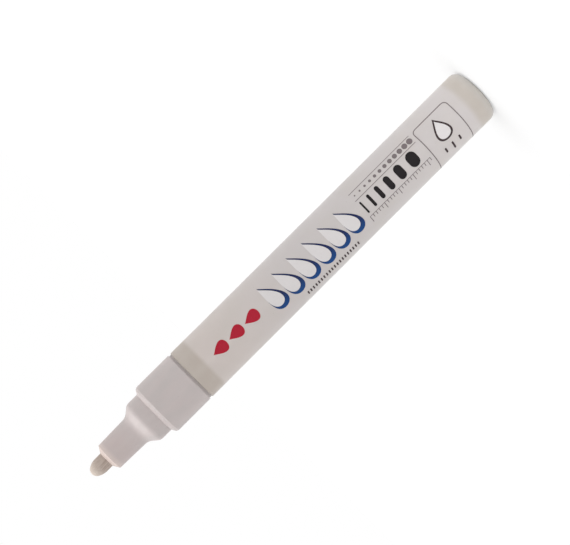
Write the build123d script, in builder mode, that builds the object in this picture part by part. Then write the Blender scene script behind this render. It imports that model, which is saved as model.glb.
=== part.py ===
"""Valve-action paint marker, uncapped, standing on its closed end with the nib up.

The Z axis runs up the middle of the marker and the origin is the centre of the base.
Pressing the nib pushes the nib holder and the valve rod down against the spring, which
lifts the seal off its seat and lets paint through. A loose ball stirs the paint.
"""

import os
from math import cos, pi, sin, sqrt

from build123d import *

# Driving dimensions, in millimetres

# Barrel: a drawn can with a closed base and its rim turned in over the collar's spigot
barrel_diameter = 15.0
barrel_length = 101.05
barrel_wall = 0.5
base_thickness = 0.8
base_edge_radius = 2.0
rim_lip = 0.4
rim_bevel = 0.2

# Collar: the part that plugs into the barrel and holds the valve
joint_groove_height = 0.7
joint_groove_depth = 0.3
collar_length = 11.65
collar_bevel_height = 0.55
collar_bevel_depth = 0.28
shoulder_height = 0.67
spigot_length = 12.0
spigot_wall = 0.9
spigot_lead_in = 0.5
valve_web = 1.5

# Nozzle: pushed into the collar from the front, with the cap's seat round its root
cap_seat_step = 1.38
cap_seat_length = 3.64
cap_seat_edge_radius = 2.0
flare_height = 2.39
flare_radius = 3.0
nozzle_length = 10.45
nozzle_wall = 1.7
nozzle_draft = 0.23
mouth_cone_height = 0.95
mouth_rim = 0.1
mouth_land = 2.5
nib_relief = 0.5
chamber_roof = 1.0

# Nib and the holder that carries its tail
nib_diameter = 4.35
nib_exposed = 5.15
nib_tip_length = 3.1
nib_nose_radius = 1.75
nib_length = 26.95
nib_tail_chamfer = 0.4
holder_wall = 0.7
holder_floor = 1.0
fin_height = 0.9
fin_width = 1.2
fin_count = 4
feed_slot_width = 1.3
feed_slot_margin = 1.5

# Valve
press_travel = 2.0
end_gap = 0.5
gasket_thickness = 0.8
gasket_margin = 0.4
seat_disc = 1.6
seat_lip_height = 0.4
seat_lip_width = 0.5
seat_flow_gap = 0.8
housing_wall = 0.7
skirt_length = 4.5
snap_bead = 0.2
cage_wall = 0.6
cage_floor = 1.0
window_count = 4
window_width = 3.0
window_margin = 0.7
rod_pin_diameter = 2.4
rod_tail_diameter = 2.6
rod_tail_overhang = 0.4
rod_end_chamfer = 0.3
head_thickness = 1.2
seal_thickness = 0.8
seal_overlap = 0.25

# Spring
wire_diameter = 0.5
wire_sides = 4
spring_clearance = 0.4
spring_length = 8.0
spring_turns = 5.0

# Stirring ball
ball_diameter = 4.5

# Clearances, each on the radius or on one side
fit_clearance = 0.03
slide_clearance = 0.06

# Radii, worked out from the outside in
barrel_radius = barrel_diameter / 2
bore_radius = barrel_radius - barrel_wall
lip_radius = bore_radius - rim_lip
base_fill = max(base_edge_radius - barrel_wall, barrel_wall)
neck_radius = barrel_radius - joint_groove_depth
cap_seat_radius = barrel_radius - cap_seat_step
spigot_radius = bore_radius - fit_clearance
groove_radius = lip_radius - fit_clearance
valve_bore_radius = spigot_radius - spigot_wall
housing_radius = valve_bore_radius - fit_clearance
skirt_bore_radius = housing_radius - housing_wall
cage_radius = skirt_bore_radius - fit_clearance
cage_bore_radius = cage_radius - cage_wall

nib_radius = nib_diameter / 2
mouth_bore_radius = nib_radius + slide_clearance
mouth_face_radius = mouth_bore_radius + mouth_rim
relief_radius = nib_radius + nib_relief
nozzle_tip_radius = nib_radius + nozzle_wall
nozzle_root_radius = nozzle_tip_radius + nozzle_draft
holder_bore_radius = nib_radius + fit_clearance
holder_radius = holder_bore_radius + holder_wall
fin_radius = holder_radius + fin_height
chamber_radius = fin_radius + slide_clearance
plug_radius = (chamber_radius + cap_seat_radius) / 2
socket_radius = plug_radius + fit_clearance

pin_radius = rod_pin_diameter / 2
tail_radius = rod_tail_diameter / 2
seat_hole_radius = pin_radius + seat_flow_gap
seat_lip_radius = seat_hole_radius + seat_lip_width
seal_radius = seat_lip_radius + seal_overlap
wire_radius = wire_diameter / 2
spring_radius = tail_radius + spring_clearance + wire_radius
head_radius = max(seal_radius, spring_radius + wire_diameter)
ball_radius = ball_diameter / 2

# Heights, worked out from the base up
z_lip = barrel_length - barrel_wall
z_spigot = barrel_length - spigot_length
z_collar = barrel_length + joint_groove_height
z_collar_top = z_collar + collar_length
z_cap_seat = z_collar_top + shoulder_height
z_cap_seat_top = z_cap_seat + cap_seat_length
z_nozzle = z_cap_seat_top + flare_height
z_mouth = z_nozzle + nozzle_length
z_nib_tip = z_mouth + nib_exposed
z_nib_tail = z_nib_tip - nib_length
z_holder = z_nib_tail - holder_floor
z_chamber_top = z_cap_seat_top - chamber_roof
z_valve_shoulder = z_holder - press_travel - end_gap
z_housing_top = z_valve_shoulder - gasket_thickness
z_socket = z_valve_shoulder + valve_web
z_plug = z_socket + slide_clearance
z_seat_face = z_housing_top - seat_disc
z_skirt = z_seat_face - skirt_length
z_seal_top = z_seat_face - seat_lip_height
z_head_top = z_seal_top - seal_thickness
z_head = z_head_top - head_thickness
z_cage_floor = z_head - spring_length
z_cage = z_cage_floor - cage_floor
z_rod_tail = z_cage - rod_tail_overhang
z_ball = base_thickness + fit_clearance + ball_radius
z_ball_limit = z_rod_tail - press_travel - end_gap - ball_radius

# Barrel: one wall from the rounded base to the rim, which is turned in behind the spigot
with BuildPart() as barrel:
    with BuildSketch(Plane.XZ):
        with BuildLine():
            FilletPolyline(
                (0, 0),
                (barrel_radius, 0),
                (barrel_radius, barrel_length - rim_bevel),
                (barrel_radius - rim_bevel, barrel_length),
                (lip_radius, barrel_length),
                (lip_radius, z_lip),
                (bore_radius, z_lip - rim_lip),
                (bore_radius, base_thickness + base_fill),
                (bore_radius - base_fill, base_thickness),
                (0, base_thickness),
                radius=[base_edge_radius, 0, 0, 0, 0, 0, 0, 0],
            )
            Line((0, base_thickness), (0, 0))
        make_face()
    revolve(axis=Axis.Z)
barrel.part.label = "barrel"

# Collar: spigot, joint groove, body and shoulder, bored from both ends, with a bead under the valve
with BuildPart() as collar:
    with BuildSketch(Plane.XZ):
        with BuildLine():
            Polyline(
                (neck_radius, z_collar),
                (barrel_radius, z_collar),
                (barrel_radius, z_collar_top - collar_bevel_height),
                (barrel_radius - collar_bevel_depth, z_collar_top),
                (cap_seat_radius, z_cap_seat),
                (socket_radius, z_cap_seat),
                (socket_radius, z_socket),
                (chamber_radius, z_socket),
                (chamber_radius, z_valve_shoulder),
                (valve_bore_radius, z_valve_shoulder),
                (valve_bore_radius, z_skirt - fit_clearance),
                (valve_bore_radius - snap_bead, z_skirt - fit_clearance - snap_bead),
                (valve_bore_radius, z_skirt - fit_clearance - 3 * snap_bead),
                (valve_bore_radius, z_spigot),
                (spigot_radius - spigot_lead_in / 2, z_spigot),
                (spigot_radius, z_spigot + spigot_lead_in),
                (spigot_radius, z_lip - rim_lip),
                (groove_radius, z_lip),
                (groove_radius, barrel_length),
                (neck_radius, barrel_length),
                close=True,
            )
        make_face()
    revolve(axis=Axis.Z)
collar.part.label = "collar"

# Nozzle: plug, cap seat, flare, mouth and the bores for nib and holder
with BuildPart() as nozzle:
    with BuildSketch(Plane.XZ):
        with BuildLine():
            outside = FilletPolyline(
                (plug_radius, z_cap_seat),
                (cap_seat_radius, z_cap_seat),
                (cap_seat_radius, z_cap_seat_top),
                (nozzle_root_radius, z_nozzle),
                (nozzle_tip_radius, z_mouth - mouth_cone_height),
                (mouth_face_radius, z_mouth),
                radius=[0, cap_seat_edge_radius, flare_radius, 0],
            )
            Polyline(
                outside @ 1,
                (mouth_bore_radius, z_mouth),
                (mouth_bore_radius, z_mouth - mouth_land),
                (relief_radius, z_mouth - mouth_land - nib_relief),
                (relief_radius, z_chamber_top),
                (chamber_radius, z_chamber_top),
                (chamber_radius, z_plug),
                (plug_radius, z_plug),
                outside @ 0,
            )
        make_face()
    revolve(axis=Axis.Z)
nozzle.part.label = "nozzle"

# Nib: fibre rod with a chamfered tail and a bullet tip of two arcs, nose and flank
nose_radius = min(nib_nose_radius, 0.95 * nib_radius)
nose_height = nib_tip_length - nose_radius
flank_radius = (nib_radius**2 + nose_height**2 - nose_radius**2) / (nib_radius - nose_radius) / 2
nose_share = nose_radius / (flank_radius - nose_radius)
nose_start = (
    nose_share * (flank_radius - nib_radius),
    z_nib_tip - nose_radius + nose_share * nose_height,
)
with BuildPart() as nib:
    with BuildSketch(Plane.XZ):
        with BuildLine():
            Polyline(
                (0, z_nib_tip),
                (0, z_nib_tail),
                (nib_radius - nib_tail_chamfer, z_nib_tail),
                (nib_radius, z_nib_tail + nib_tail_chamfer),
                (nib_radius, z_nib_tip - nib_tip_length),
            )
            flank = TangentArc(
                (nib_radius, z_nib_tip - nib_tip_length), nose_start, tangent=(0, 1)
            )
            TangentArc(nose_start, (0, z_nib_tip), tangent=flank % 1)
        make_face()
    revolve(axis=Axis.Z)
nib.part.label = "nib"

# Nib holder: cup with guide fins and feed slots between them
with BuildPart() as nib_holder:
    with BuildSketch(Plane.XY.offset(z_holder)):
        with PolarLocations(0, fin_count):
            Rectangle(fin_radius + fin_width, fin_width, align=(Align.MIN, Align.CENTER))
        Circle(fin_radius, mode=Mode.INTERSECT)
        Circle(holder_radius)
    extrude(amount=z_chamber_top - z_holder)
    with BuildSketch(Plane.XY.offset(z_nib_tail)):
        Circle(holder_bore_radius)
    extrude(amount=z_chamber_top - z_nib_tail, mode=Mode.SUBTRACT)
    slot_height = z_chamber_top - z_nib_tail - 2 * feed_slot_margin
    with BuildSketch(Plane.XY.offset(z_nib_tail + feed_slot_margin)):
        with PolarLocations(0, fin_count, start_angle=180 / fin_count):
            Rectangle(fin_radius, feed_slot_width, align=(Align.MIN, Align.CENTER))
    extrude(amount=slot_height, mode=Mode.SUBTRACT)
nib_holder.part.label = "nib_holder"

# Gasket between the collar's inner shoulder and the valve housing
with BuildPart() as valve_gasket:
    with BuildSketch(Plane.XY.offset(z_housing_top)):
        Circle(housing_radius)
        Circle(seat_hole_radius + gasket_margin, mode=Mode.SUBTRACT)
    extrude(amount=gasket_thickness)
valve_gasket.part.label = "valve_gasket"

# Valve housing: disc with the seat lip under its hole, and a skirt that takes the cage
with BuildPart() as valve_housing:
    with BuildSketch(Plane.XZ):
        with BuildLine():
            Polyline(
                (seat_hole_radius, z_housing_top),
                (housing_radius, z_housing_top),
                (housing_radius, z_skirt),
                (skirt_bore_radius, z_skirt),
                (skirt_bore_radius, z_seat_face),
                (seat_lip_radius + seat_lip_height, z_seat_face),
                (seat_lip_radius, z_seal_top),
                (seat_hole_radius, z_seal_top),
                close=True,
            )
        make_face()
    revolve(axis=Axis.Z)
valve_housing.part.label = "valve_housing"

# Valve cage: cup for the spring, with windows for the paint and a guide hole for the rod
with BuildPart() as valve_cage:
    with BuildSketch(Plane.XZ):
        with BuildLine():
            Polyline(
                (tail_radius + slide_clearance, z_cage),
                (cage_radius, z_cage),
                (cage_radius, z_seat_face),
                (cage_bore_radius, z_seat_face),
                (cage_bore_radius, z_cage_floor),
                (tail_radius + slide_clearance, z_cage_floor),
                close=True,
            )
        make_face()
    revolve(axis=Axis.Z)
    with BuildSketch(Plane.XY.offset(z_cage_floor + window_margin)):
        with PolarLocations(0, window_count):
            Rectangle(2 * cage_radius, window_width, align=(Align.MIN, Align.CENTER))
    extrude(amount=z_skirt - z_cage_floor - 2 * window_margin, mode=Mode.SUBTRACT)
valve_cage.part.label = "valve_cage"

# Valve rod: pin that the holder pushes, head that carries the seal, tail that the cage guides
with BuildPart() as valve_rod:
    with BuildSketch(Plane.XZ):
        with BuildLine():
            Polyline(
                (0, z_holder),
                (pin_radius - rod_end_chamfer, z_holder),
                (pin_radius, z_holder - rod_end_chamfer),
                (pin_radius, z_head_top),
                (head_radius, z_head_top),
                (head_radius, z_head),
                (tail_radius, z_head),
                (tail_radius, z_rod_tail + rod_end_chamfer),
                (tail_radius - rod_end_chamfer, z_rod_tail),
                (0, z_rod_tail),
                close=True,
            )
        make_face()
    revolve(axis=Axis.Z)
valve_rod.part.label = "valve_rod"

# Valve seal: soft washer on the rod's head, closed against the seat lip at rest
with BuildPart() as valve_seal:
    with BuildSketch(Plane.XY.offset(z_head_top)):
        Circle(seal_radius)
        Circle(pin_radius + fit_clearance, mode=Mode.SUBTRACT)
    extrude(amount=seal_thickness)
valve_seal.part.label = "valve_seal"


def coil_point(turn):
    """Point on the spring's centre line after this many turns."""
    angle = 2 * pi * turn
    height = z_cage_floor + spring_length * turn / spring_turns
    return Vector(spring_radius * cos(angle), spring_radius * sin(angle), height)


def coil_direction(turn):
    """Direction of the spring's centre line after this many turns."""
    angle = 2 * pi * turn
    around = 2 * pi * spring_radius
    rise = spring_length / spring_turns
    return Vector(-around * sin(angle), around * cos(angle), rise).normalized()


def two_arcs(start_turn, end_turn):
    """Two arcs, tangent to each other and to the helix at both ends."""
    start, end = coil_point(start_turn), coil_point(end_turn)
    leave, arrive = coil_direction(start_turn), coil_direction(end_turn)
    chord = end - start
    a = 2 * (leave.dot(arrive) - 1)
    b = -2 * chord.dot(leave + arrive)
    c = chord.dot(chord)
    reach = (-b - sqrt(b * b - 4 * a * c)) / (2 * a)
    first, second = start + leave * reach, end - arrive * reach
    middle = (first + second) / 2
    TangentArc(start, middle, tangent=leave)
    TangentArc(middle, end, tangent=second - first)


# Valve spring: open coil with both ends ground flat against the cage floor and the head
arc_step = 0.5
with BuildPart() as valve_spring:
    with BuildLine() as coil:
        steps = int(spring_turns / arc_step)
        for step in range(steps):
            two_arcs(spring_turns * step / steps, spring_turns * (step + 1) / steps)
    with BuildSketch(Plane(origin=coil_point(0), z_dir=coil_direction(0))):
        RegularPolygon(wire_radius, wire_sides)
    sweep(path=coil.wires()[0])
    split(bisect_by=Plane.XY.offset(z_cage_floor), keep=Keep.TOP)
    split(bisect_by=Plane.XY.offset(z_head), keep=Keep.BOTTOM)
valve_spring.part.label = "valve_spring"

# Stirring ball, lying on the base
with BuildPart() as mixing_ball:
    with Locations((0, 0, z_ball)):
        Sphere(ball_radius)
mixing_ball.part.label = "mixing_ball"

os.makedirs("parts", exist_ok=True)
for piece in (
    barrel,
    collar,
    nozzle,
    nib,
    nib_holder,
    valve_gasket,
    valve_housing,
    valve_cage,
    valve_rod,
    valve_seal,
    valve_spring,
    mixing_ball,
):
    export_step(piece.part, f"parts/{piece.part.label}.step")

coil_gap = spring_length / spring_turns - wire_diameter
print(f"overall length {z_nib_tip:.2f}, cap seat {z_cap_seat:.2f} to {z_cap_seat_top:.2f}")
print(f"ball travel {z_ball_limit - z_ball:.2f}, spring foot {z_cage_floor:.2f}")
print(f"gap between the spring's turns {coil_gap:.2f}")
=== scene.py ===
"""Looks of the paint marker: materials, print, nib fibres, spring, floor, light and camera.

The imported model's frame is in metres: base at z = 0, nib up, print towards -Y. Sizes here are in
millimetres unless they say otherwise.
"""

import math

import bmesh
import bpy
from mathutils import Matrix, Vector, noise


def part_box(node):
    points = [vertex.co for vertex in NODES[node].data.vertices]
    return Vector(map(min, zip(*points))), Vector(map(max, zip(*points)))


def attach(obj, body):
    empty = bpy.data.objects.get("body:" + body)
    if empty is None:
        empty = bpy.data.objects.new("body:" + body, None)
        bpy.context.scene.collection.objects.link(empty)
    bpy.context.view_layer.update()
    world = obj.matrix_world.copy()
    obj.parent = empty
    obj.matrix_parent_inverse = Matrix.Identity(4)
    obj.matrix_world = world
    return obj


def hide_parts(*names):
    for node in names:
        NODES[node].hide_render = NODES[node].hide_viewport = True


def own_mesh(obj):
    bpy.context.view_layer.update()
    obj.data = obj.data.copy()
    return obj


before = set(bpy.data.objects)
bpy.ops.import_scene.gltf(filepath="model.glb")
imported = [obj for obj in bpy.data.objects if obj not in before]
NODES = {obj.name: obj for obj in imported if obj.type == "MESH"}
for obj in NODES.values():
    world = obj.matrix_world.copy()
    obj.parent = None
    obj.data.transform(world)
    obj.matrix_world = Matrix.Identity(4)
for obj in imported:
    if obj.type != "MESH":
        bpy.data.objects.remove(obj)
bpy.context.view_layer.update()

MM = 0.001
scene = bpy.context.scene
scene.view_settings.view_transform = "Standard"

# Sizes that follow the solids
BARREL_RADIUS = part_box("barrel")[1].x / MM
BARREL_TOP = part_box("barrel")[1].z / MM
COLLAR_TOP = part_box("collar")[1].z / MM
NOZZLE_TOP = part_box("nozzle")[1].z / MM
NIB_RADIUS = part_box("nib")[1].x / MM
NIB_TAIL, NIB_TIP = (corner.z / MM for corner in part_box("nib"))
SPRING_FOOT, SPRING_TOP = (corner.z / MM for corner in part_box("valve_spring"))
SPRING_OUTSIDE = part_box("valve_spring")[1].x / MM

# The label coat, between two bare bands
LABEL_LOW, LABEL_HIGH = 5.4, 96.5

# The open joint between barrel and collar
JOINT_WIDTH = 0.7
JOINT_TOP = BARREL_TOP + JOINT_WIDTH


def srgb(red, green, blue):
    """Linear colour of an sRGB triple from 0 to 255."""
    def linear(value):
        value /= 255
        return value / 12.92 if value <= 0.04045 else ((value + 0.055) / 1.055) ** 2.4
    return (linear(red), linear(green), linear(blue), 1.0)


# Materials

def feed(tree, socket, value):
    """Puts a plain value on a socket, or links another socket to it."""
    if isinstance(value, bpy.types.NodeSocket):
        tree.links.new(value, socket)
    else:
        socket.default_value = value


def combine(tree, operation, first, second):
    """Adds a math node to a tree."""
    node = tree.nodes.new("ShaderNodeMath")
    node.operation = operation
    feed(tree, node.inputs[0], first)
    feed(tree, node.inputs[1], second)
    return node.outputs[0]


class Shader:
    """Adds and links the nodes of one material. Textures use the model's own millimetres."""

    def __init__(self, name):
        self.material = bpy.data.materials.new(name)
        self.material.use_nodes = True
        self.tree = self.material.node_tree
        self.bsdf = self.tree.nodes["Principled BSDF"]
        scale = self.add("ShaderNodeMapping")
        scale.inputs["Scale"].default_value = (1 / MM, 1 / MM, 1 / MM)
        self.link(self.add("ShaderNodeTexCoord").outputs["Object"], scale.inputs["Vector"])
        self.place = scale.outputs["Vector"]

    def add(self, kind, **settings):
        node = self.tree.nodes.new(kind)
        for key, value in settings.items():
            setattr(node, key, value)
        return node

    def link(self, source, target):
        self.tree.links.new(source, target)

    def feed(self, socket, value):
        feed(self.tree, socket, value)

    def set(self, **sockets):
        """Sets the shader's own sockets; Base_Color stands for Base Color."""
        for key, value in sockets.items():
            self.feed(self.bsdf.inputs[key.replace("_", " ")], value)

    def stretched(self, x, y, z):
        """Places scaled by these factors, for noise that is longer one way."""
        node = self.add("ShaderNodeMapping")
        node.inputs["Scale"].default_value = (x, y, z)
        self.link(self.place, node.inputs["Vector"])
        return node.outputs["Vector"]

    def noise(self, size, detail=3.0, rough=0.55, place=None):
        """Soft noise from 0 to 1 with features of this size."""
        node = self.add("ShaderNodeTexNoise")
        node.inputs["Scale"].default_value = 1 / size
        node.inputs["Detail"].default_value = detail
        node.inputs["Roughness"].default_value = rough
        self.link(place or self.place, node.inputs["Vector"])
        return node.outputs["Fac"]

    def cells(self, size):
        """Distance to scattered points about this far apart."""
        node = self.add("ShaderNodeTexVoronoi")
        node.inputs["Scale"].default_value = 1 / size
        self.link(self.place, node.inputs["Vector"])
        return node.outputs["Distance"]

    def axis(self, name):
        node = self.add("ShaderNodeSeparateXYZ")
        self.link(self.place, node.inputs[0])
        return node.outputs[name]

    def math(self, operation, first, second):
        return combine(self.tree, operation, first, second)

    def uneven(self, value, size, reach):
        """Value raised by noise with features of this size, by up to reach."""
        return self.math("ADD", value, self.math("MULTIPLY", self.noise(size), reach))

    def span(self, value, low, high, to_low=0.0, to_high=1.0):
        """Maps value from low..high to to_low..to_high, held at the ends."""
        node = self.add("ShaderNodeMapRange", interpolation_type="SMOOTHSTEP")
        self.feed(node.inputs["Value"], value)
        for key, number in zip(("From Min", "From Max", "To Min", "To Max"),
                               (low, high, to_low, to_high)):
            node.inputs[key].default_value = number
        return node.outputs["Result"]

    def band(self, value, low, high, soft, share):
        """Share where value is between low and high, fading out over soft at both ends."""
        rise = self.span(value, low - soft, low, 0.0, share)
        return self.math("MULTIPLY", rise, self.span(value, high, high + soft, 1.0, 0.0))

    def blend(self, factor, first, second):
        """Mixes two colours; a factor of 0 gives the first."""
        node = self.add("ShaderNodeMix", data_type="RGBA")
        self.feed(node.inputs["Factor"], factor)
        self.feed(node.inputs[6], first)
        self.feed(node.inputs[7], second)
        return node.outputs[2]

    def bump(self, height, depth):
        """Surface relief of this depth."""
        node = self.add("ShaderNodeBump")
        node.inputs["Distance"].default_value = depth * MM
        self.link(height, node.inputs["Height"])
        self.link(node.outputs["Normal"], self.bsdf.inputs["Normal"])


def lacquer():
    """White lacquer on the can: a label coat, warmer towards the nib, between two bare bands.

    Clouds and flecks break up the coat. The base's edge is painted lighter against its shade, and painted
    shade darkens the rim by the joint.
    """
    shader = Shader("barrel_lacquer")
    z = shader.axis("Z")

    warm_from, low_fade, high_fade = 58.0, 1.0, 0.7
    warmth = shader.span(z, warm_from, LABEL_HIGH)
    coat = shader.blend(warmth, srgb(198, 192, 191), srgb(205, 195, 190))
    past_rear_band = shader.span(z, LABEL_LOW - low_fade, LABEL_LOW + low_fade)
    colour = shader.blend(past_rear_band, srgb(184, 176, 168), coat)
    front_band = shader.span(z, LABEL_HIGH - high_fade, LABEL_HIGH + high_fade)
    colour = shader.blend(front_band, colour, srgb(185, 174, 165))

    cloud = shader.span(shader.noise(7.0, 4.0), 0.35, 0.75, 0.0, 0.35)
    colour = shader.blend(cloud, colour, srgb(195, 188, 181))
    fleck = shader.span(shader.cells(1.9), 0.03, 0.075, 0.35, 0.0)
    colour = shader.blend(fleck, colour, srgb(168, 160, 152))

    # Painted light: the base's edge, which faces the floor and falls into shade, is painted lighter.
    base_edge_painted_light = shader.span(shader.uneven(z, 0.8, 1.2), 1.2, 3.8, 0.85, 0.0)
    colour = shader.blend(base_edge_painted_light, colour, srgb(190, 186, 181))
    # Painted shade: the rim next to the joint groove is darkened where the groove's shadow falls.
    rim_painted_shade = shader.span(z, BARREL_TOP - JOINT_WIDTH / 2, BARREL_TOP, 0.0, 0.6)
    colour = shader.blend(rim_painted_shade, colour, srgb(132, 121, 113))

    gloss = shader.span(shader.noise(3.0, 5.0), 0.3, 0.7, 0.30, 0.42)
    fine_peel, broad_peel = shader.noise(0.45, 2.0), shader.noise(2.4, 2.0)
    peel = shader.math("ADD", fine_peel, shader.math("MULTIPLY", broad_peel, 1.5))
    shader.set(Base_Color=colour, Roughness=gloss, IOR=1.47)
    shader.bump(peel, 0.006)
    return shader.material


def front_plastic():
    """Satin moulded plastic: flow marks, painted shade in the joint and in a ring on the shoulder, and
    below the mouth a painted warm glow, a painted bright ring and a darker line at the edge.
    """
    shader = Shader("front_plastic")
    z = shader.axis("Z")

    flow = shader.noise(5.0, 4.0, 0.6, shader.stretched(1.0, 1.0, 0.35))
    colour = shader.blend(shader.span(flow, 0.3, 0.75), srgb(197, 186, 184), srgb(191, 183, 181))
    speck = shader.span(shader.cells(2.6), 0.02, 0.06, 0.3, 0.0)
    colour = shader.blend(speck, colour, srgb(160, 150, 145))

    # Painted shade: the collar's neck in the joint groove is darkened where the groove's shadow falls.
    joint_painted_shade = shader.span(z, JOINT_TOP - JOINT_WIDTH / 2, JOINT_TOP - 0.05, 0.38, 0.0)
    colour = shader.blend(joint_painted_shade, colour, srgb(132, 121, 116))
    shoulder_height = 0.6
    # Painted shade: the shoulder, lit brighter from overhead, is painted a little darker in a ring.
    shoulder_painted_shade = shader.band(z, COLLAR_TOP - shoulder_height, COLLAR_TOP, 0.1, 0.22)
    colour = shader.blend(shoulder_painted_shade, colour, srgb(165, 154, 151))

    # Painted light below the mouth: a warm glow fading down the nozzle and a bright ring just under the
    # mouth; the very edge is a little darker.
    below_mouth = shader.math("SUBTRACT", NOZZLE_TOP, shader.uneven(z, 1.5, 0.2))
    for near, far, share, painted_glow_highlight_and_edge_tint in (
        (4.0, 10.0, 0.6, srgb(194, 179, 176)),
        (0.9, 2.6, 0.7, srgb(221, 205, 198)),
        (0.7, 0.9, 0.7, srgb(188, 171, 162)),
    ):
        colour = shader.blend(shader.span(below_mouth, near, far, share, 0.0), colour, painted_glow_highlight_and_edge_tint)

    satin = shader.span(flow, 0.3, 0.7, 0.40, 0.50)
    shader.set(Base_Color=colour, Roughness=satin, IOR=1.49)
    shader.bump(shader.noise(0.16, 3.0), 0.004)
    return shader.material


def nib_fibre():
    """Bonded fibres, ground to shape: streaks along the nib, paint soaked in at the tip."""
    shader = Shader("nib_fibre")
    streak = shader.noise(0.16, 3.0, 0.6, shader.stretched(1.0, 1.0, 0.06))
    colour = shader.blend(shader.span(streak, 0.35, 0.65), srgb(164, 147, 136), srgb(193, 178, 168))
    soaked = shader.span(shader.uneven(shader.axis("Z"), 0.9, 2.0), NIB_TIP - 2.6, NIB_TIP + 0.6)
    colour = shader.blend(soaked, colour, srgb(194, 181, 170))
    shader.set(Base_Color=colour, Roughness=0.92, Sheen_Weight=0.15, Sheen_Roughness=0.6)
    shader.bump(shader.math("ADD", streak, shader.noise(0.12, 2.0)), 0.02)
    return shader.material


def inner_plastic():
    """Natural moulded plastic of the valve pieces, slightly milky."""
    shader = Shader("inner_plastic")
    flow = shader.noise(2.5, 3.0)
    colour = shader.blend(flow, srgb(226, 226, 220), srgb(214, 215, 210))
    shader.set(Base_Color=colour, Roughness=shader.span(flow, 0.3, 0.7, 0.38, 0.5), IOR=1.5)
    shader.bump(shader.noise(0.2), 0.003)
    return shader.material


def rod_plastic():
    """Hard smooth plastic with fine turning rings from the mould core."""
    shader = Shader("rod_plastic")
    rings = shader.noise(0.25, 1.0, 0.5, shader.stretched(0.02, 0.02, 1.0))
    colour = shader.blend(rings, srgb(226, 223, 212), srgb(216, 213, 203))
    shader.set(Base_Color=colour, Roughness=shader.span(rings, 0.3, 0.7, 0.22, 0.34), IOR=1.48)
    shader.bump(rings, 0.002)
    return shader.material


def seal_rubber():
    """Matte black rubber with a talc bloom."""
    shader = Shader("seal_rubber")
    bloom = shader.noise(0.9, 4.0)
    colour = shader.blend(shader.span(bloom, 0.45, 0.8), srgb(34, 34, 35), srgb(62, 61, 60))
    shader.set(Base_Color=colour, Roughness=shader.span(bloom, 0.3, 0.8, 0.6, 0.85))
    shader.bump(shader.noise(0.12), 0.004)
    return shader.material


def steel(name, grain_size, low, high):
    """Bare steel with a fine grain and roughness between low and high."""
    shader = Shader(name)
    grain = shader.noise(grain_size, 3.0, 0.6)
    colour = shader.blend(grain, srgb(176, 177, 180), srgb(204, 204, 206))
    shader.set(Base_Color=colour, Metallic=1.0, Roughness=shader.span(grain, 0.3, 0.7, low, high))
    shader.bump(grain, 0.001)
    return shader.material


def ink(name, colour, worn, low_colour=None):
    """Printed ink, patchy where it is worn. With low_colour it fades to that towards -X."""
    shader = Shader(name)
    patch = shader.noise(0.5, 4.0)
    tint = colour
    if low_colour:
        fade = shader.span(shader.axis("X"), -0.75 * BARREL_RADIUS, -0.1 * BARREL_RADIUS)
        tint = shader.blend(fade, low_colour, colour)
    tint = shader.blend(shader.span(patch, 0.45, 0.8, 0.0, 0.15), tint, worn)
    matt = shader.span(patch, 0.3, 0.7, 0.42, 0.56)
    shader.set(Base_Color=tint, Roughness=matt, Specular_IOR_Level=0.2)
    shader.bump(shader.noise(0.3), 0.003)
    return shader.material


def paint(piece, material):
    """Gives a piece this material in its only slot."""
    piece.data.materials.clear()
    piece.data.materials.append(material)


def paint_solids():
    plastic, inner, rubber = front_plastic(), inner_plastic(), seal_rubber()
    for node, material in {
        "barrel": lacquer(),
        "collar": plastic,
        "nozzle": plastic,
        "nib_holder": inner,
        "valve_gasket": rubber,
        "valve_housing": inner,
        "valve_cage": inner,
        "valve_rod": rod_plastic(),
        "valve_seal": rubber,
        "mixing_ball": steel("ball_steel", 0.6, 0.06, 0.16),
    }.items():
        paint(NODES[node], material)


# Meshes

def add_piece(name, bm, body, material):
    """Puts a finished mesh in the scene as a piece that rides on a body."""
    mesh = bpy.data.meshes.new(name)
    bm.to_mesh(mesh)
    bm.free()
    mesh.shade_smooth()
    mesh.set_sharp_from_angle(angle=math.radians(50))
    piece = bpy.data.objects.new(name, mesh)
    scene.collection.objects.link(piece)
    paint(piece, material)
    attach(piece, body)
    return piece


def join_rings(bm, rings):
    """Faces between each closed ring of vertices and the next.

    They face outwards where the rings turn clockwise, seen from the last one.
    """
    for ring, following in zip(rings, rings[1:]):
        for i in range(len(ring)):
            j = (i + 1) % len(ring)
            bm.faces.new((ring[j], ring[i], following[i], following[j]))


def close_ends(bm, rings):
    """Ends over the first ring and the last, each a row of four-sided faces across an even ring."""
    for ring in (rings[0], rings[-1][::-1]):
        for i in range(len(ring) // 2 - 1):
            bm.faces.new((ring[i], ring[i + 1], ring[-2 - i], ring[-1 - i]))


# Nib: the rod's own outline, with its fibres as relief

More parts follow.
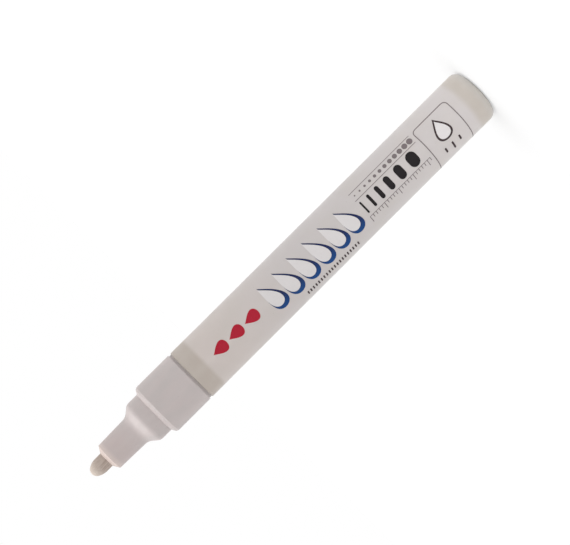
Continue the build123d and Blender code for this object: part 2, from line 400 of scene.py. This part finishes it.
def nib_outline():
    """(radius, height) points of the nib from its tail to its tip: rod, flank arc and nose arc."""
    tip_length, nose, tail_chamfer, shown_rod = 3.1, 1.75, 0.4, 4.5
    shoulder = NIB_TIP - tip_length
    nose_centre = tip_length - nose
    flank = (NIB_RADIUS**2 + nose_centre**2 - nose**2) / (NIB_RADIUS - nose) / 2
    meet = math.atan2(nose_centre, flank - NIB_RADIUS)
    points = [(NIB_RADIUS - tail_chamfer, NIB_TAIL)]
    hidden, shown, fine = 14, 70, 30
    rod_from = NIB_TAIL + tail_chamfer
    shown_from = shoulder - shown_rod
    for i in range(hidden):
        points.append((NIB_RADIUS, rod_from + (shown_from - rod_from) * i / hidden))
    for i in range(shown):
        points.append((NIB_RADIUS, shown_from + (shoulder - shown_from) * i / shown))
    for i in range(fine):
        angle = meet * i / fine
        radius = NIB_RADIUS - flank + flank * math.cos(angle)
        points.append((radius, shoulder + flank * math.sin(angle)))
    for i in range(fine):
        angle = meet + (math.pi / 2 - meet) * i / fine
        points.append((nose * math.cos(angle), NIB_TIP - nose + nose * math.sin(angle)))
    return points


def fibre_depth(x, y, z):
    """How far the surface lies under the nib's outline: grooves between fibres, ground pits."""
    groove = noise.noise(Vector((x * 4.2, y * 4.2, z * 0.22)))
    strand = noise.noise(Vector((x * 9.0 + 7, y * 9.0, z * 0.5)))
    pit = noise.noise(Vector((x * 5.0, y * 5.0, z * 5.0 + 3)))
    return 0.028 + 0.018 * groove + 0.012 * strand + 0.010 * pit


def make_nib():
    sides, tip_wear = 144, 0.01
    bm = bmesh.new()
    rings = []
    for radius, height in nib_outline():
        ring = []
        for i in range(sides):
            angle = -2 * math.pi * i / sides
            x, y = radius * math.cos(angle), radius * math.sin(angle)
            depth = fibre_depth(x, y, height) * min(1.0, radius)
            share = (radius - depth) / radius
            ring.append(bm.verts.new((x * share * MM, y * share * MM, height * MM)))
        rings.append(ring)
    join_rings(bm, rings)
    bm.faces.new(rings[0])
    tip = bm.verts.new((0, 0, (NIB_TIP - tip_wear) * MM))
    for i in range(sides):
        bm.faces.new((rings[-1][(i + 1) % sides], rings[-1][i], tip))
    piece = add_piece("nib_fibres", bm, "writing_tip", nib_fibre())
    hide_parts("nib")


# Spring: round wire, its ends ground flat

def make_spring():
    wire, turns, turn_steps, wire_sides = 0.25, 5.0, 40, 14
    centre = SPRING_OUTSIDE - wire
    length = SPRING_TOP - SPRING_FOOT
    lean = math.atan2(length / turns, 2 * math.pi * centre)
    bm = bmesh.new()
    rings = []
    steps = int(turns * turn_steps)
    for step in range(steps + 1):
        turn = turns * step / steps
        angle = 2 * math.pi * turn
        out = Vector((math.cos(angle), math.sin(angle), 0))
        along = Vector((-math.sin(angle), math.cos(angle), 0))
        up = Vector((0, 0, 1)) * math.cos(lean) - along * math.sin(lean)
        middle = out * centre + Vector((0, 0, SPRING_FOOT + length * turn / turns))
        ring = []
        for side in range(wire_sides):
            around = 2 * math.pi * side / wire_sides
            spot = middle + wire * (out * math.cos(around) + up * math.sin(around))
            spot.z = min(max(spot.z, SPRING_FOOT), SPRING_TOP)
            ring.append(bm.verts.new(spot * MM))
        rings.append(ring)
    join_rings(bm, rings)
    close_ends(bm, rings)
    piece = add_piece("spring_coil", bm, "body", steel("spring_wire", 0.3, 0.2, 0.35))
    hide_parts("valve_spring")
    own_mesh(piece)


# Print: ink films wrapped on the barrel. Points are (height, arc), the arc measured round the
# barrel from the middle of the printed side, towards -X.

FILM_ROOT = 0.03
FILM_STEP = 0.4
LAYER_LIFTS = (0.010, 0.020)


def wrap(spot, lift):
    """Point on the barrel at this height and arc, lifted off the lacquer."""
    angle = spot.y / BARREL_RADIUS
    radius = BARREL_RADIUS + lift
    return Vector((-radius * math.sin(angle), -radius * math.cos(angle), spot.x)) * MM


def film(bm, path, halves, layer=0, closed=False):
    """Adds a thin closed film along a path, with these half widths."""
    columns = max(1, math.ceil(2 * max(halves) / FILM_STEP))
    rings = []
    for i, (spot, half) in enumerate(zip(path, halves)):
        before = path[i - 1] if closed or i else spot
        after = path[(i + 1) % len(path)] if closed or i + 1 < len(path) else spot
        way = (after - before).normalized()
        side = Vector((-way.y, way.x)) * half
        across = [spot + side * (2 * column / columns - 1) for column in range(columns + 1)]
        top = [bm.verts.new(wrap(point, LAYER_LIFTS[layer])) for point in across]
        foot = [bm.verts.new(wrap(point, -FILM_ROOT)) for point in across]
        rings.append(top + foot[::-1])
    if closed:
        rings.append(rings[0])
    else:
        close_ends(bm, rings)
    join_rings(bm, rings)


def line(bm, start, end, width):
    """Adds a straight line of even width with round ends."""
    start, end, half = Vector(start), Vector(end), width / 2
    length = (end - start).length
    cap = [half * (1 - math.cos(math.radians(angle))) for angle in (12, 30, 50, 70, 90)]
    steps = max(1, math.ceil((length - width) / FILM_STEP))
    middle = [half + (length - width) * i / steps for i in range(1, steps)]
    places = cap + middle + [length - place for place in reversed(cap)]
    path = [start.lerp(end, place / length) for place in places]
    inset = [half - min(place, length - place, half) for place in places]
    film(bm, path, [math.sqrt(half**2 - back**2) for back in inset])


def dot(bm, centre, radius):
    """Adds a round dot: a line hardly longer than it is wide."""
    height, arc = centre
    sliver = 0.001
    line(bm, (height - radius, arc), (height + radius, arc), 2 * radius - sliver)


def drop(bm, middle, length, width, way, layer=0):
    """Adds a paint drop about its middle, with its point along way."""
    widest, point = 0.7, 0.03
    steps = 36
    path, halves = [], []
    for i in range(1, steps):
        turn = math.pi * i / steps
        path.append(Vector(middle) + Vector(way) * (length / 2 * math.cos(turn)))
        half = width / 2 / widest * math.sin(turn) * math.sin(turn / 2) ** 1.5
        halves.append(max(half, point))
    film(bm, path, halves, layer)


def rounded_box(low, high, radius):
    """Closed path round a box of heights and arcs, with round corners and short runs."""
    corner_steps = 6
    centres = (
        (high[0] - radius, high[1] - radius),
        (low[0] + radius, high[1] - radius),
        (low[0] + radius, low[1] + radius),
        (high[0] - radius, low[1] + radius),
    )
    corners = []
    for quarter, centre in enumerate(centres):
        for step in range(corner_steps + 1):
            angle = math.pi / 2 * (quarter + step / corner_steps)
            corners.append(Vector(centre) + radius * Vector((math.cos(angle), math.sin(angle))))
    path = []
    for start, end in zip(corners, corners[1:] + corners[:1]):
        runs = max(1, math.ceil((end - start).length / FILM_STEP))
        path += [start.lerp(end, i / runs) for i in range(runs)]
    return path


def print_drops(bm):
    """Three paint drops in a row, pointing at the nib."""
    count, first, pitch, arc = 3, 91.4, 5.4, 0.4
    length, width = 4.6, 3.3
    for i in range(count):
        drop(bm, (first - pitch * i, arc), length, width, (1, 0))


def print_dabs(shadow, face):
    """Row of slanting white dabs, longest in the middle, each outlined by its drop shadow."""
    count, first, pitch = 6, 73.6, 5.3
    longest, taper, width = 8.6, 0.4, 3.5
    added_length, added_width = 1.6, 1.0
    slant, shift = Vector((0.34, -0.94)), Vector((-0.4, 0.4))
    for i in range(count):
        middle = Vector((first - pitch * i, 0.0))
        length = longest - taper * abs(i - (count - 1) / 2)
        drop(shadow, middle + shift, length + added_length, width + added_width, slant)
        drop(face, middle, length, width, slant, layer=1)


def print_dashes(bm):
    """Fine row of short dashes beside the dabs."""
    count, first, pitch, width = 20, 66.0, 0.92, 0.42
    low, high = 6.35, 7.65
    for i in range(count):
        height = first - pitch * i
        line(bm, (height, low), (height, high), width)


def print_width_scale(bm):
    """Stroke widths from fine to broad."""
    height, gap = 41.8, 1.85
    low, high = -0.95, 2.6
    for width in (0.5, 0.8, 1.2, 1.7, 2.3, 3.0):
        overrun = width / 8
        height -= width / 2
        line(bm, (height, low - overrun), (height, high + overrun), width)
        height -= width / 2 + gap


# Heights where the hairlines beside the width scale start and end
SCALE_HIGH, SCALE_LOW = 42.2, 21.0


def print_dot_scale(bm):
    """Dots from small to large between two hairlines."""
    hairline, low, middle, high = 0.16, -4.3, -3.05, -1.8
    count, first, pitch = 12, 41.2, 1.75
    smallest, growth = 0.22, 0.055
    for arc in (low, high):
        line(bm, (SCALE_HIGH, arc), (SCALE_LOW, arc), hairline)
    for i in range(count):
        dot(bm, (first - pitch * i, middle), smallest + growth * i)


def print_ruler(bm):
    """Ruler of one-millimetre ticks."""
    count, first, long_every = 22, 42.1, 5
    arc, short_end, long_end = 3.6, 4.6, 5.5
    hairline, tick = 0.14, 0.2
    line(bm, (SCALE_HIGH, arc), (SCALE_LOW, arc), hairline)
    for i in range(count):
        end = short_end if i % long_every else long_end
        line(bm, (first - i, arc), (first - i, end), tick)


def print_frame(lines, dark, pale):
    """Frame round an outlined drop with three short strokes under it."""
    low, high, corner, half_line = (8.5, -4.3), (20.0, 14.5), 1.2, 0.13
    outline = rounded_box(low, high, corner)
    film(lines, outline, [half_line] * len(outline), closed=True)

    middle, towards_x = 14.2, (0, -1)
    drop(dark, (middle, 0.3), 6.6, 4.7, towards_x)
    drop(pale, (middle, 0.45), 5.3, 3.6, towards_x, layer=1)

    apart, start, short_end, long_end, width = 2.4, 4.9, 6.6, 7.5, 0.55
    for step, end in ((1, short_end), (0, long_end), (-1, short_end)):
        height = middle + apart * step
        line(dark, (height, start), (height, end), width)


def make_print():
    films = {name: bmesh.new() for name in ("red", "blue", "pale", "black", "dark", "grey")}
    print_drops(films["red"])
    print_dabs(films["blue"], films["pale"])
    print_dashes(films["dark"])
    print_width_scale(films["black"])
    print_dot_scale(films["grey"])
    print_ruler(films["grey"])
    print_frame(films["grey"], films["dark"], films["pale"])
    inks = {
        "red": ink("ink_red", srgb(172, 22, 46), srgb(196, 70, 86)),
        "blue": ink("ink_blue", srgb(26, 36, 78), srgb(60, 84, 130), low_colour=srgb(12, 70, 132)),
        "pale": ink("ink_pale", srgb(218, 214, 214), srgb(206, 199, 198)),
        "black": ink("ink_black", srgb(22, 17, 20), srgb(58, 50, 52)),
        "dark": ink("ink_dark", srgb(62, 50, 52), srgb(110, 98, 98)),
        "grey": ink("ink_grey", srgb(118, 109, 110), srgb(150, 142, 142)),
    }
    for name, bm in films.items():
        add_piece("print_" + name, bm, "body", inks[name])


# Floor, light and camera

def seen_directly(tree):
    """1 for what the camera sees, straight on or in a reflection or through glass, and else 0."""
    path = tree.nodes.new("ShaderNodeLightPath")
    value = path.outputs["Is Camera Ray"]
    for name in ("Is Glossy Ray", "Is Transmission Ray"):
        value = combine(tree, "MAXIMUM", value, path.outputs[name])
    return value


def make_floor(near, far, paper, whiteness):
    """Paper that the camera sees nearly white, with a soft shadow, and that reflects most by the base."""
    half_size, under_base = 30000, 0.02
    bright_within, dull_from = 20, 110
    bm = bmesh.new()
    bmesh.ops.create_grid(bm, x_segments=1, y_segments=1, size=half_size * MM)
    mesh = bpy.data.meshes.new("floor")
    bm.to_mesh(mesh)
    bm.free()
    floor = bpy.data.objects.new("floor", mesh)
    floor.location.z = -under_base * MM
    scene.collection.objects.link(floor)

    shader = Shader("floor_paper")
    seen = seen_directly(shader.tree)
    distance = shader.add("ShaderNodeVectorMath", operation="LENGTH")
    shader.link(shader.place, distance.inputs[0])
    bounce = shader.span(distance.outputs["Value"], bright_within, dull_from, near, far)
    colour = shader.blend(seen, bounce, (paper, paper, paper, 1.0))
    shader.set(Base_Color=colour, Roughness=0.9, Specular_IOR_Level=0.0)
    white = shader.add("ShaderNodeEmission")
    mixed = shader.add("ShaderNodeMixShader")
    shader.link(shader.math("MULTIPLY", seen, whiteness), mixed.inputs["Fac"])
    shader.link(shader.bsdf.outputs[0], mixed.inputs[1])
    shader.link(white.outputs[0], mixed.inputs[2])
    shader.link(mixed.outputs[0], shader.tree.nodes["Material Output"].inputs["Surface"])
    paint(floor, shader.material)


def add_lamp(lamp, place, target):
    """Puts a lamp at a place, looking at the target."""
    thing = bpy.data.objects.new(lamp.name, lamp)
    turn = (target - place).to_track_quat("-Z", "Y").to_matrix().to_4x4()
    thing.matrix_world = Matrix.Translation(place) @ turn
    scene.collection.objects.link(thing)


def make_world(level, side_swing):
    """Light from all round, strongest from both sides, in front of a white background."""
    world = bpy.data.worlds.new("studio")
    world.use_nodes = True
    tree = world.node_tree
    background = tree.nodes["Background"]
    background.inputs["Color"].default_value = (1.0, 1.0, 1.0, 1.0)
    way = tree.nodes.new("ShaderNodeSeparateXYZ")
    tree.links.new(tree.nodes.new("ShaderNodeTexCoord").outputs["Generated"], way.inputs[0])
    sides, ends = (combine(tree, "MULTIPLY", way.outputs[axis], way.outputs[axis]) for axis in "XY")
    swing = combine(tree, "SUBTRACT", sides, ends)
    swing = combine(tree, "MULTIPLY", swing, side_swing * level)
    strength = tree.nodes.new("ShaderNodeMapRange")
    tree.links.new(combine(tree, "ADD", swing, level), strength.inputs["To Min"])
    strength.inputs["To Max"].default_value = 1.0
    tree.links.new(seen_directly(tree), strength.inputs["Value"])
    tree.links.new(strength.outputs["Result"], background.inputs["Strength"])
    scene.world = world


def make_lamps(top_level, rear_level):
    """A wide lamp overhead and a fill on the closed end, with their places in metres."""
    overhead = bpy.data.lights.new("overhead", "SUN")
    overhead.energy = top_level * math.pi
    overhead.angle = math.radians(70)
    add_lamp(overhead, Vector((0.06, -0.04, 0.7)), Vector((0, 0, 0.1)))

    fill = bpy.data.lights.new("rear_fill", "SPOT")
    place, target = Vector((-0.10, -0.72, 0.06)), Vector((0, 0, 0))
    fill.energy = rear_level * math.pi * 4 * math.pi * (target - place).length_squared
    fill.spot_size = math.radians(24)
    fill.spot_blend = 1.0
    fill.shadow_soft_size = 0.12
    add_lamp(fill, place, target)


def make_camera():
    """Camera of the photograph: long lens, a little above square on, rolled on its side."""
    photo_width = 570
    focal_pixels = 1757
    aim = Vector((1.65, 0, 66.4)) * MM
    distance = 440 * MM
    elevation = math.radians(3.9)
    roll = math.radians(-134.87)
    data = bpy.data.cameras.new("camera")
    data.sensor_width = 36.0
    data.lens = data.sensor_width * focal_pixels / photo_width
    data.clip_start, data.clip_end = 0.01, 100
    camera = bpy.data.objects.new("camera", data)
    back = Vector((0, -math.cos(elevation), math.sin(elevation)))
    side = (-back).cross(Vector((0, 0, 1))).normalized()
    up = side.cross(-back)
    right = math.cos(roll) * side + math.sin(roll) * up
    top = -math.sin(roll) * side + math.cos(roll) * up
    turn = Matrix((right, top, back)).transposed()
    camera.matrix_world = Matrix.Translation(aim + back * distance) @ turn.to_4x4()
    scene.collection.objects.link(camera)
    scene.camera = camera


paint_solids()
make_nib()
make_spring()
make_print()
make_floor(near=0.9, far=0.5, paper=0.75, whiteness=0.5)
make_world(level=0.70, side_swing=0.5)
make_lamps(top_level=0.76, rear_level=0.15)
make_camera()
